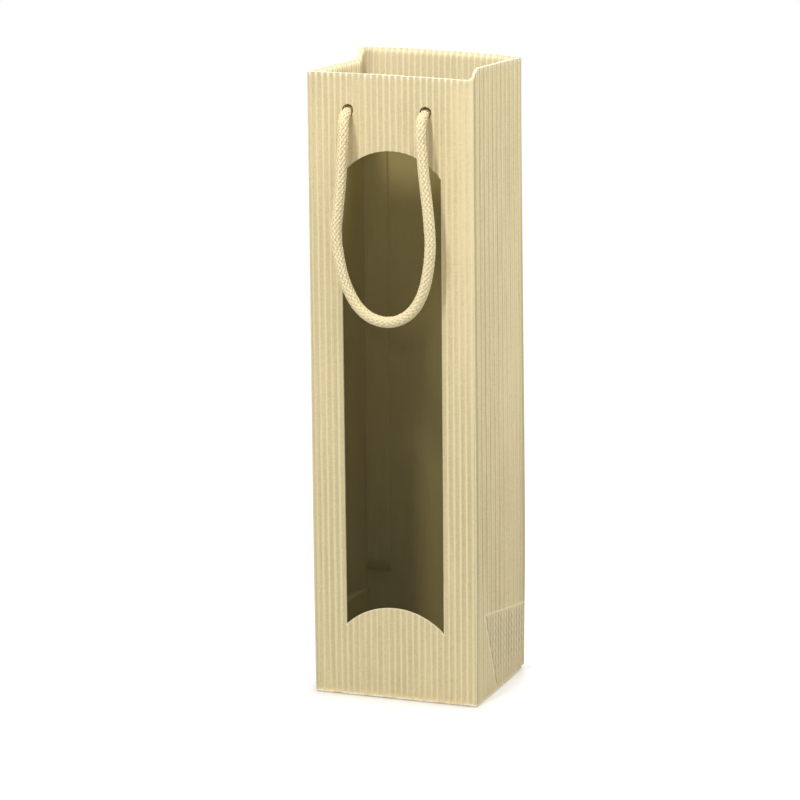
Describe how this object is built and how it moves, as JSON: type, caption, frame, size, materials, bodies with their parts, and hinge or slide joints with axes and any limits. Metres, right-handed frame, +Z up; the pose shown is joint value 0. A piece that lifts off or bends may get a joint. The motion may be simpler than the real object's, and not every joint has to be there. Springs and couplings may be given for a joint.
{
  "type": "bottle bag",
  "caption": "Tall open-topped gift bag of open-flute corrugated board for a wine bottle, with an arched film window and a knotted cord handle that swings up to be carried.",
  "frame": {"origin": "middle of the footprint, on the surface the bag stands on", "axes": "+Z up, from the bottom to the mouth; +X to the right and +Y to the back, with the window at the front, -Y"},
  "size_m": [0.0986, 0.0994, 0.3665],
  "materials": {
    "board": "uncoated corrugated kraft board, matt",
    "ply": "smooth uncoated kraft board, matt",
    "film": "clear glossy film",
    "cord": "braided unbleached cotton"
  },
  "bodies": {
    "bag": {"front_panel": "board", "right_panel": "board", "back_panel": "board", "left_panel": "board", "front_hem": "board", "right_hem": "board", "back_hem": "board", "left_hem": "board", "window_film": "film", "bottom_outer_flap": "ply", "bottom_inner_flap": "ply", "left_tab": "ply", "right_tab": "ply", "seam_flap": "ply", "left_cord_end": "cord", "right_cord_end": "cord"},
    "handle": {"handle_cord": "cord"}
  },
  "joints": [
    {"name": "handle_swing", "type": "hinge", "parent": "bag", "child": "handle", "pos_m": [-0.0016, -0.04748, 0.3407], "axis": [-1, 0, 0], "range_deg": [0, 172]}
  ]
}
